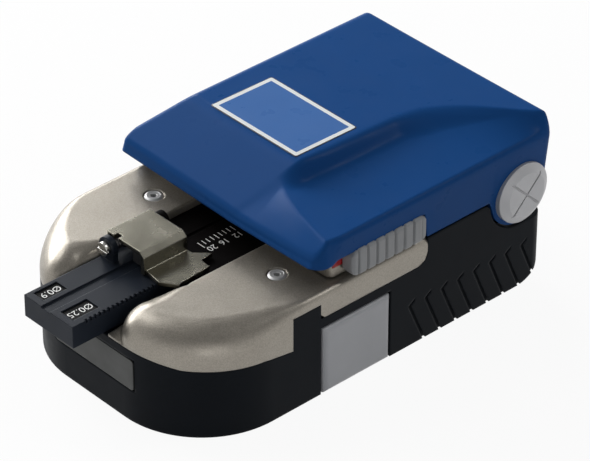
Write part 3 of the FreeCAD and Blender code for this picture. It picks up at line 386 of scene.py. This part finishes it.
nickel = fine_finish("nickel", (0.60, 0.59, 0.56), 0.24, metal=1.0, grain=5200,
                     grain_depth=0.12, mottle=0.06)[0]
paint(nickel, "clamp_pin", "base_screws", "lid_screws")
ground_steel = fine_finish("ground_steel", (0.50, 0.51, 0.53), 0.30, metal=1.0, grain=4300,
                           grain_depth=0.2, mottle=0.08)[0]
paint(ground_steel, "chassis", "guide_rods", "hinge_pin", "blade_axle", "lower_clamp_front",
      "lower_clamp_rear", "upper_clamps", "strike_post", "anvil", "lid_magnet", "blade_hub")
spring_steel = fine_finish("spring_steel", (0.22, 0.22, 0.23), 0.35, metal=1.0, grain=5000,
                           mottle=0.1)[0]
paint(spring_steel, "lid_spring", "clamp_spring")
bronze = fine_finish("bronze", (0.50, 0.33, 0.16), 0.38, metal=1.0, grain=3000,
                     grain_depth=0.25, mottle=0.15)[0]
paint(bronze, "hinge_bushes", "carriage_bushes")
carbide = fine_finish("carbide", (0.34, 0.35, 0.37), 0.16, metal=1.0, grain=6000, grain_depth=0.05)[0]
paint(carbide, "blade_wheel")


# ---------------------------------------------------------------- fibre guide and bed
# The tongue and the bed with the length scale.  Machined aluminium, black anodised, with
# white-filled engraved figures: plain numbers and diameter signs only.

black_anodised = fine_finish("black_anodised", (0.014, 0.018, 0.026), 0.38, grain=3600,
                             grain_depth=0.12, specular=0.1)[0]
paint(black_anodised, "fibre_guide", "carriage_block")
bed_black = fine_finish("bed_black", (0.0025, 0.002, 0.002), 0.6, grain=3600, specular=0.03,
                        edge_wear_and_highlight=0.0)[0]
paint(bed_black, "scale_bed")
insert_black = fine_finish("insert_black", (0.002, 0.002, 0.002), 0.6, grain=2600,
                           grain_depth=0.4, mottle=0.3, specular=0.1)[0]
paint(insert_black, "size_inserts")
white_fill = fine_finish("white_fill", (0.78, 0.78, 0.76), 0.55, grain=2500, mottle=0.06, edge_wear_and_highlight=0.0)[0]


def figures(name, words, z, stroke):
    """Engraved figures, as points and faces for each word: its outline, thickened by
    stroke, lies flat at height z, its letters upright towards +X and read towards -Y."""
    parts = []
    for text, x, y, height in words:
        curve = bpy.data.curves.new(name, "FONT")
        curve.body, curve.size = text, height * SIZE_PER_HEIGHT
        curve.align_x, curve.align_y = "CENTER", "CENTER"
        curve.offset = stroke
        carrier = bpy.data.objects.new(name, curve)
        bpy.context.scene.collection.objects.link(carrier)
        bpy.context.view_layer.update()
        shape = carrier.evaluated_get(bpy.context.evaluated_depsgraph_get())
        flat = bpy.data.meshes.new_from_object(shape)
        place = np.empty(len(flat.vertices) * 3)
        flat.vertices.foreach_get("co", place)
        across, up = place.reshape(-1, 3)[:, :2].T
        parts.append((np.column_stack([x + up, y - across, np.full(len(up), z)]),
                      [list(polygon.vertices) for polygon in flat.polygons]))
        bpy.data.objects.remove(carrier)
        bpy.data.meshes.remove(flat)
    return parts


def scale_ticks(z):
    """The scale's ticks, one a millimetre: a thin rectangle each, longest at the first and
    longer at every fourth than between."""
    near = TICK_Y + np.arange(TICKS) - TICK_WIDTH / 2
    left = np.full(TICKS, TICK_X)
    right = TICK_X + np.array(TICK_LENGTHS)
    corners = np.stack([np.stack([left, near], 1), np.stack([right, near], 1),
                        np.stack([right, near + TICK_WIDTH], 1),
                        np.stack([left, near + TICK_WIDTH], 1)], 1).reshape(-1, 2)
    return (np.column_stack([corners, np.full(len(corners), z)]),
            np.arange(4 * TICKS).reshape(-1, 4).tolist())


SIZE_PER_HEIGHT, FILL_STANDS = 1.38, 0.03
TICKS, TICK_X, TICK_Y, TICK_WIDTH = 9, -1.6, -17.7, 0.18
TICK_LENGTHS = (2.1, 1.35, 1.35, 1.35, 1.6, 1.35, 1.35, 1.35, 1.6)
BED_TOP = 21.0
SCALE_WORDS = (("20", 1.35, -16.7, 1.5), ("16", 1.35, -13.75, 1.5), ("12", 1.35, -10.4, 1.5))
SIZE_WORDS = (("Ø0.9", -8.2, -47.2, 1.6), ("Ø0.25", -0.15, -47.0, 1.6))

piece("scale_marks", "base", "insert_black", white_fill,
      *joined([scale_ticks(BED_TOP + FILL_STANDS),
               *figures("scale_figures", SCALE_WORDS, BED_TOP + FILL_STANDS, 0.0)]))
insert_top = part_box("size_inserts")[1].z / MM
piece("size_figures", "base", "insert_black", white_fill,
      *joined(figures("size_figures", SIZE_WORDS, insert_top + FILL_STANDS, -0.01)))


# ---------------------------------------------------------------- fibre clamp
# The bright sheet-steel hood that holds the fibre down.  Pressed from spring steel,
# nickel-plated and brushed along the fibre.

BRUSH_STRETCH = 0.06
hood_finish, _, hood_grain = fine_finish("brushed_nickel", (0.235, 0.225, 0.185), 0.24, metal=1.0,
                                         grain=1500, grain_depth=0.03, mottle=0.04, round_off=0.3)
stretch = hood_finish.node_tree.nodes.new("ShaderNodeMapping")
stretch.inputs["Scale"].default_value = (1.0, BRUSH_STRETCH, 1.0)
hood_links = hood_finish.node_tree.links
hood_place = hood_finish.node_tree.nodes["Texture Coordinate"].outputs["Object"]
hood_noise = hood_grain.inputs["Height"].links[0].from_node
hood_links.new(hood_place, stretch.inputs["Vector"])
hood_links.new(stretch.outputs["Vector"], hood_noise.inputs["Vector"])
paint(hood_finish, "clamp_plate")


# ---------------------------------------------------------------- small grey and red pieces
# The drawer front and the hinge caps in moulded light grey plastic, the dark blank panel
# let into the nose, and the lock's red mark, which is painted.

drawer_grey = fine_finish("drawer_grey", (0.43, 0.435, 0.45), 0.36, grain=2800, grain_depth=0.12,
                          mottle=0.05, edge_wear_and_highlight=0.3, round_off=0.5)[0]
paint(drawer_grey, "drawer_front")
cap_grey = fine_finish("cap_grey", (0.46, 0.46, 0.47), 0.42, metal=0.3, grain=2400, grain_depth=0.25,
                       mottle=0.05, edge_wear_and_highlight=0.3, round_off=0.3)[0]
paint(cap_grey, "hinge_cap_left", "hinge_cap_right")
panel_grey = fine_finish("panel_grey", (0.026, 0.028, 0.026), 0.5, grain=2600)[0]
paint(panel_grey, "nose_panel")
red_paint = fine_finish("red_paint", (0.42, 0.008, 0.012), 0.4, mottle=0.15, edge_wear_and_highlight=0.1)[0]
paint(red_paint, "red_mark")


# ---------------------------------------------------------------- lock slider
# The ribbed finger slider on the lid's right that locks it down.  Moulded light grey
# plastic, silky, running in a slot of the lid frame.

grey_plastic = fine_finish("grey_plastic", (0.25, 0.255, 0.26), 0.40, grain=2800, grain_depth=0.12,
                           mottle=0.05, edge_wear_and_highlight=0.25, round_off=0.35)[0]
SLIDER_LOW, SLIDER_HIGH = (25.6, -6.5, 23.2), (28.5, 12.2, 28.9)
SLIDER_CORNER, SLIDER_EDGE, SLIDER_PLAIN = 1.7, 0.8, 1.4
GROOVE_START, GROOVE_PITCH, GROOVE_DEPTH = 1.45, 2.3, 0.55


def slider_points():
    """Cross-sections of the finger slider along Y.  Its outline is a rounded rectangle;
    across each section the outer face falls away as a quarter round near the outline, and
    dips by a smooth groove between each finger rib and the next, the clipped top of a
    cosine along Y."""
    (x0, y0, z0), (x1, y1, z1) = SLIDER_LOW, SLIDER_HIGH
    rows = np.concatenate([y0 + SLIDER_CORNER * np.linspace(0, 1, 12) ** 1.6,
                           np.linspace(y0 + 1.8, y1 - 1.8, 118),
                           y1 - SLIDER_CORNER * np.linspace(1, 0, 12) ** 1.6])
    past = np.clip(SLIDER_CORNER - np.minimum(rows - y0, y1 - rows), 0, SLIDER_CORNER)
    half = (z1 - z0) / 2 - SLIDER_CORNER + np.sqrt(SLIDER_CORNER ** 2 - past ** 2)
    share = np.sin(np.linspace(-math.pi / 2, math.pi / 2, 25))
    y = np.repeat(rows[:, None], len(share), 1)
    z = (z0 + z1) / 2 + half[:, None] * share
    inside = np.minimum(half[:, None] * (1 - np.abs(share)), np.minimum(y - y0, y1 - y))
    lost = np.clip(1 - inside / SLIDER_EDGE, 0, 1)
    x = x1 - SLIDER_EDGE * (1 - np.sqrt(1 - lost ** 2))
    groove = np.clip(np.cos((y - y0 - GROOVE_START) * 2 * math.pi / GROOVE_PITCH) * 2.2 - 1.2, 0, 1)
    x = x - GROOVE_DEPTH * groove * ((y > y0 + SLIDER_PLAIN) & (y < y1 - SLIDER_PLAIN))
    back = np.stack([np.full((len(rows), 2), x0), y[:, :2], z[:, [-1, 0]]], 2)
    loop = np.concatenate([np.stack([x, y, z], 2), back], 1)
    return loop.reshape(-1, 3), closed_faces(*loop.shape[:2], 1)


slider = piece("finger_slider", "lock", "grey_plastic", grey_plastic, *slider_points())
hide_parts("lock_slider")
soften(slider, 50)


# ---------------------------------------------------------------- lid cover
# The blue cover: a raised panel that carries the label plate, runs down to a front lip
# and drops on the right to a wing.  Die-cast, in a blue metallic lacquer, with four
# screws through the lid frame into it.

FRONT_LEFT, FRONT_RIGHT, BACK, HALF = -13.8, -14.9, 44.95, 28.15
CORNER_RADII = (1.1, 2.6, 1.5, 1.5)
LIP_LEAN, FOOT_TAPER = 0.4, 0.9
TOP_Z, TOP_FALL, TOP_LEVEL_TO = 37.14, 0.020, -1.0
WING_SIDE_Z, WING_SIDE_X = 33.4, 27.5

# Each line is a row of places along Y and a row of what it has there: how far right the
# fold and the crease lie, how high the wing is, and how wide the step between them is.
FOLD = ((-15, -11.6, -8.9, -5.6, -2.6, 0, 9.3, 20, 27.3, 31, 35, 38.2, 42.7, 44.4),
        (3.4, 4.4, 5.6, 6.9, 8.2, 8.9, 9.0, 9.2, 9.6, 11.6, 14.8, 18.8, 24.4, 25.9))
CREASE = ((-15, -13.2, -11, -6.8, -4, -1, 8, 21.3, 27.7, 32.1, 36.9, 42.6, 44.4),
          (4.8, 6.0, 7.6, 10.6, 10.4, 10.1, 10.6, 11.3, 13.4, 16.4, 20.2, 24.9, 26.3))
WING = ((-15, 8, 21.3, 27.7, 36.9, 42.6, 44.4), (33.95, 33.95, 34.15, 34.5, 35.2, 35.9, 36.1))
STEP_WIDTH = ((-8, 2, 26, 40), (1.1, 2.3, 1.9, 1.0))


def soft_min(a, b, reach):
    """The lower of two heights, rounded where they come within reach of each other."""
    share = np.clip(0.5 + 0.5 * (b - a) / reach, 0, 1)
    return b * (1 - share) + a * share - reach * share * (1 - share)


def fair_line(at, ys, values, width=2.2):
    """The line through (ys, values), each point averaged over width mm along Y."""
    return sum(np.interp(at + step * width, ys, values) / 9 for step in np.linspace(-1, 1, 9))


def cover_top(y):
    """The top's height: level at the front, and falling slightly towards the back."""
    return TOP_Z - TOP_FALL * np.clip(y - TOP_LEVEL_TO, 0, None)


def cover_height(x, y):
    """Height = the panel left of the fold, the wing right of the crease, and between them
    an eased step.  The panel is the softened lowest of its top, the ramp that falls to
    the lip and the left slope.  The wing falls slightly to the right from the crease, and
    is softly cut by the front facet, which rises along Y, more steeply further right."""
    ramp = 30.0 + 0.672 * (y + 12.6)
    left = 30.1 + 1.04 * (x + HALF)
    panel = soft_min(soft_min(cover_top(y), ramp, 1.1), left, 0.9)
    fold = fair_line(y, *FOLD)
    crease = fair_line(y, *CREASE, 0.8)
    wing_top = fair_line(y, *WING)
    fall = (wing_top - WING_SIDE_Z) / (WING_SIDE_X - crease)
    wing = wing_top - np.maximum(fall * (x - crease), -0.12)
    steepness = 0.64 + 0.66 * np.clip((x - 9.3) / 17.7, 0, 1)
    facet = 29.6 + steepness * (y + 13.3 + 0.089 * (x - 8.2))
    wing = soft_min(wing, facet, 0.25)
    step_width = np.maximum(crease - fold, 0.3) * np.interp(y, *STEP_WIDTH)
    step = eased(np.clip((x - fold) / step_width, 0, 1))
    return panel * (1 - step) + wing * step


def cover_outline(count):
    """The cover seen from above, as count points anticlockwise from the front left: a
    four-sided plan whose corners are arcs, spaced by distance along it."""
    corners = np.array([(-HALF, FRONT_LEFT), (HALF, FRONT_RIGHT), (HALF, BACK), (-HALF, BACK)], float)
    path = []
    for k, radius in enumerate(CORNER_RADII):
        here, before, after = corners[k], corners[k - 1], corners[(k + 1) % 4]
        a = (before - here) / np.linalg.norm(before - here)
        b = (after - here) / np.linalg.norm(after - here)
        turn = np.arccos(np.clip(a @ b, -1, 1))
        centre = here + (a + b) / np.linalg.norm(a + b) * radius / np.sin(turn / 2)
        first = here + a * radius / np.tan(turn / 2) - centre
        last = here + b * radius / np.tan(turn / 2) - centre
        swing = math.atan2(first[0] * last[1] - first[1] * last[0], first @ last)
        angles = np.linspace(0, swing, 24)
        path.append(centre + np.outer(np.cos(angles), first)
                    + np.outer(np.sin(angles), (-first[1], first[0])))
    path = np.concatenate(path)
    path = np.vstack([path, path[:1]])
    run = np.concatenate([[0], np.cumsum(np.linalg.norm(np.diff(path, axis=0), axis=1))])
    at = np.arange(count) / count * run[-1]
    return np.stack([np.interp(at, run, path[:, 0]), np.interp(at, run, path[:, 1])], 1)


LIP_BACK, LOCK_BACK, SIDE_X = -10.6, 12.6, 20
SKIRT_SIDE, SKIRT_LIP, SKIRT_LOCK, SKIRT_CORNER = 22.85, 27.0, 28.6, 28.2
CAP_Y, CAP_Z, CAP_R = 37.2, 22.2, 7.2


def cover_skirt(outline):
    """The skirt's lower edge: high under the front lip, higher over the lock on the
    right, low along the sides, and an arc round the hinge cap at the back.  Each point is
    averaged with the one before and the one after."""
    x, y = outline.T
    low = np.full(len(x), SKIRT_SIDE)
    low = np.where(y < LIP_BACK, SKIRT_LIP + 0.9 * np.clip((x - 4) / 22, 0, 1), low)
    low = np.where((x > SIDE_X) & (y >= LIP_BACK) & (y < LOCK_BACK), SKIRT_LOCK, low)
    low = np.where((x > 26) & (y < LIP_BACK), np.maximum(low, SKIRT_CORNER), low)
    hinge = np.abs(y - CAP_Y)
    lobe = CAP_Z - np.sqrt(np.clip(CAP_R ** 2 - hinge ** 2, 0, None))
    low = np.where((hinge < CAP_R) & (np.abs(x) > SIDE_X), np.minimum(low, lobe), low)
    return np.convolve(np.concatenate([low[-1:], low, low[:1]]), np.ones(3) / 3, "valid")


# The cover's rings, from the middle of the top outwards, over the rounded rim, down the
# skirt and back inside to the middle.  In front the skirt leans back towards the rim, and
# elsewhere it tapers in towards its foot.
AROUND, RIM, COVER_WALL, HOLLOW = 560, 1.0, 1.7, 0.5
outline = cover_outline(AROUND)
centre = np.array([-2.0, 14.0])
arm = outline - centre
reach = np.linalg.norm(arm, axis=1, keepdims=True)
skirt = cover_skirt(outline)
front = np.clip((-9 - outline[:, 1]) / 2.5, 0, 1)[:, None]
tangent = np.roll(outline, -1, 0) - np.roll(outline, 1, 0)
outward = np.stack([tangent[:, 1], -tangent[:, 0]], 1)
outward /= np.linalg.norm(tangent, axis=1, keepdims=True)
lean = outward * LIP_LEAN * front

rings = []
for share in np.concatenate([np.linspace(0.004, 0.55, 22), np.linspace(0.57, 1.0, 62)]):
    flat = centre + arm * (1 - RIM / reach) * share - lean * share
    rings.append(np.column_stack([flat, cover_height(*flat.T)]))
rim_flat = centre + arm * (1 - RIM / reach) - lean
rim_edge = outline - lean
drop = cover_height(*rim_flat.T)
slope = cover_height(*rim_edge.T) - drop
for angle in np.linspace(0, math.pi / 2, 9)[1:]:
    flat = rim_flat + (rim_edge - rim_flat) * math.sin(angle)
    height = drop + slope * math.sin(angle) - RIM * (1 - math.cos(angle))
    rings.append(np.column_stack([flat, height]))
wall_top = rings[-1][:, 2]
foot = outline - outward * FOOT_TAPER * (1 - front) * np.clip((wall_top - skirt) / 11, 0, 1)[:, None]
for share in np.linspace(0, 1, 12)[1:]:
    flat = rim_edge + (foot - rim_edge) * share
    rings.append(np.column_stack([flat, wall_top + (skirt - wall_top) * share]))
inner = foot - outward * COVER_WALL
rings.append(np.column_stack([inner, skirt]))
for share in np.linspace(1, 0, 8):
    flat = inner - lean
    height = np.maximum(cover_height(*flat.T) - COVER_WALL - HOLLOW, skirt)
    rings.append(np.column_stack([flat, height + (skirt - height) * share]))
for share in np.concatenate([np.linspace(0.95, 0.3, 12), [0.004]]):
    flat = centre + (inner - lean - centre) * share
    rings.append(np.column_stack([flat, cover_height(*flat.T) - COVER_WALL]))

# The lighter ridges and lip edges are mostly a painted highlight, with some rubbed paint.
blue_lacquer = fine_finish("blue_lacquer", (0.0090, 0.060, 0.208), 0.32, grain=3800, grain_depth=0.06,
                           mottle=0.02, edge_wear_and_highlight=0.45, round_off=0.55, specular=0.04)[0]
cover = piece("lid_cover", "lid", "blue_lacquer", blue_lacquer, np.concatenate(rings),
              closed_faces(len(rings), AROUND, 1))
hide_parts("cover")
soften(cover, 50)


# ---------------------------------------------------------------- label plate
# A thin printed plate let into the cover's top: blue enamel inside a white border, ringed
# by a dark band that is painted shade where the plate's edge meets the cover.

# The plate's outer band is painted dark, as shade along its edge.
label_painted_shade = fine_finish("label_painted_shade", (0.008, 0.012, 0.025), 0.5, grain=2600)[0]
label_white = fine_finish("label_white", (0.72, 0.74, 0.73), 0.35, grain=2600, mottle=0.03,
                          edge_wear_and_highlight=0.0)[0]
label_blue = fine_finish("label_blue", (0.050, 0.140, 0.370), 0.32, grain=2600, mottle=0.02,
                         edge_wear_and_highlight=0.0, specular=0.08)[0]
LABEL_LOW, LABEL_HIGH = (-16.3, -1.4), (7.5, 14.1)
LABEL_INSET, LABEL_LIFT = (0.0, 0.22, 1.12), (0.02, 0.08, 0.08)


def label_ring(inset, lift):
    """A rounded rectangle this far inside the plate's edge and above the cover's top: four
    quarter arcs, anticlockwise from the right, whose radius shrinks with the inset."""
    x0, y0, x1, y1 = (LABEL_LOW[0] + inset, LABEL_LOW[1] + inset,
                      LABEL_HIGH[0] - inset, LABEL_HIGH[1] - inset)
    radius = max(0.5 - inset * 0.3, 0.15)
    turn = np.linspace(0, math.pi / 2, 7)
    corners = ((x1 - radius, y1 - radius, 0), (x0 + radius, y1 - radius, math.pi / 2),
               (x0 + radius, y0 + radius, math.pi), (x1 - radius, y0 + radius, 1.5 * math.pi))
    ring = np.concatenate([np.column_stack([cx + radius * np.cos(turn + start),
                                            cy + radius * np.sin(turn + start)])
                           for cx, cy, start in corners])
    return np.column_stack([ring, cover_top(ring[:, 1]) + lift])


label_rings = [label_ring(inset, lift) for inset, lift in zip(LABEL_INSET, LABEL_LIFT)]
count = len(label_rings[0])
faces = grid_faces(3, count)[:, ::-1].tolist() + [list(range(2 * count, 3 * count))]
label = piece("label_face", "lid", "label_enamel", label_painted_shade, np.concatenate(label_rings), faces)
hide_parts("label_plate")
label.data.materials.append(label_white)
label.data.materials.append(label_blue)
label.data.polygons.foreach_set("material_index", (np.arange(len(faces)) // count).astype(np.int32))


# ---------------------------------------------------------------- stage
# A pale floor just below the sole, white surroundings and plain soft light.  What a
# camera or a shiny surface sees is white low down and darker overhead, like a ceiling.

def glow_when_seen(nodes, links, share):
    """1 for camera, glossy and transmission rays, times share."""
    path = nodes.new("ShaderNodeLightPath")
    most = path.outputs["Is Camera Ray"]
    for other in ("Is Glossy Ray", "Is Transmission Ray"):
        pick = nodes.new("ShaderNodeMath")
        pick.operation = "MAXIMUM"
        links.new(most, pick.inputs[0])
        links.new(path.outputs[other], pick.inputs[1])
        most = pick.outputs["Value"]
    scaled = nodes.new("ShaderNodeMath")
    scaled.operation = "MULTIPLY"
    scaled.inputs[1].default_value = share
    links.new(most, scaled.inputs[0])
    return scaled.outputs["Value"]


FLOOR_Z, FLOOR_HALF, FLOOR_GLOW = -0.00002, 4, 0.93
floor_mesh = bpy.data.meshes.new("floor")
floor_mesh.from_pydata([(x * FLOOR_HALF, y * FLOOR_HALF, FLOOR_Z)
                        for x, y in ((-1, -1), (1, -1), (1, 1), (-1, 1))], [], [(0, 1, 2, 3)])
floor = bpy.data.objects.new("floor", floor_mesh)
bpy.context.scene.collection.objects.link(floor)
paper = bpy.data.materials.new("paper")
paper.use_nodes = True
nodes, links = paper.node_tree.nodes, paper.node_tree.links
matt = nodes["Principled BSDF"]
matt.inputs["Base Color"].default_value = (0.80, 0.80, 0.80, 1)
matt.inputs["Roughness"].default_value = 0.9
matt.inputs["Specular IOR Level"].default_value = 0.0
white = nodes.new("ShaderNodeEmission")
blend = nodes.new("ShaderNodeMixShader")
links.new(glow_when_seen(nodes, links, FLOOR_GLOW), blend.inputs["Fac"])
links.new(matt.outputs["BSDF"], blend.inputs[1])
links.new(white.outputs["Emission"], blend.inputs[2])
links.new(blend.outputs["Shader"], nodes["Material Output"].inputs["Surface"])
floor_mesh.materials.append(paper)

ROOM_STRENGTH, WHITE_BELOW, DARK_ABOVE, DARK_STRENGTH = 0.22, 0.25, 0.60, 0.25
world = bpy.data.worlds.new("surroundings")
bpy.context.scene.world = world
world.use_nodes = True
nodes, links = world.node_tree.nodes, world.node_tree.links
room = nodes["Background"]
room.inputs["Color"].default_value = (0.92, 0.95, 1.0, 1)
room.inputs["Strength"].default_value = ROOM_STRENGTH
seen = nodes.new("ShaderNodeBackground")
seen.inputs["Color"].default_value = (1, 1, 1, 1)
upward = nodes.new("ShaderNodeSeparateXYZ")
links.new(nodes.new("ShaderNodeTexCoord").outputs["Generated"], upward.inputs["Vector"])
ceiling = nodes.new("ShaderNodeMapRange")
ceiling.inputs["From Min"].default_value = WHITE_BELOW
ceiling.inputs["From Max"].default_value = DARK_ABOVE
ceiling.inputs["To Min"].default_value = 1.0
ceiling.inputs["To Max"].default_value = DARK_STRENGTH
links.new(upward.outputs["Z"], ceiling.inputs["Value"])
links.new(ceiling.outputs["Result"], seen.inputs["Strength"])
blend = nodes.new("ShaderNodeMixShader")
links.new(glow_when_seen(nodes, links, 1.0), blend.inputs["Fac"])
links.new(room.outputs["Background"], blend.inputs[1])
links.new(seen.outputs["Background"], blend.inputs[2])
links.new(blend.outputs["Shader"], nodes["World Output"].inputs["Surface"])


LAMP_TARGET = Vector((0, 0, 0.02))


def soft_lamp(name, place, size, power):
    """A square area lamp of this width in metres and power in watts, facing the object."""
    lamp = bpy.data.lights.new(name, "AREA")
    lamp.shape, lamp.size, lamp.energy = "SQUARE", size, power
    holder = bpy.data.objects.new(name, lamp)
    bpy.context.scene.collection.objects.link(holder)
    holder.location = place
    holder.rotation_euler = (LAMP_TARGET - Vector(place)).to_track_quat("-Z", "Y").to_euler()


soft_lamp("left_back", (-0.80, 0.24, 0.40), 0.45, 5.5)
soft_lamp("left_low", (-0.88, -0.14, 0.30), 0.34, 5.2)
soft_lamp("left_high", (-0.60, -0.20, 0.74), 0.42, 2.6)
soft_lamp("front_right", (0.70, -0.45, 0.28), 0.45, 0.6)
soft_lamp("right_back", (0.36, 0.53, 0.72), 0.16, 1.1)


# ---------------------------------------------------------------- camera
# A long lens from the front right, looking down over the tongue and the lock's side,
# with the horizon level and no shift.

CAMERA_PLACE, CAMERA_DOWN, CAMERA_TURN = (0.42470, -0.38124, 0.41154), 34.7, 47.7
camera_data = bpy.data.cameras.new("camera")
camera_data.sensor_width = 36
camera_data.lens = 225.76
camera = bpy.data.objects.new("camera", camera_data)
bpy.context.scene.collection.objects.link(camera)
camera.location = CAMERA_PLACE
camera.rotation_euler = (math.radians(90 - CAMERA_DOWN), 0, math.radians(CAMERA_TURN))
bpy.context.scene.camera = camera
bpy.context.scene.view_settings.view_transform = "Standard"

bpy.context.view_layer.update()
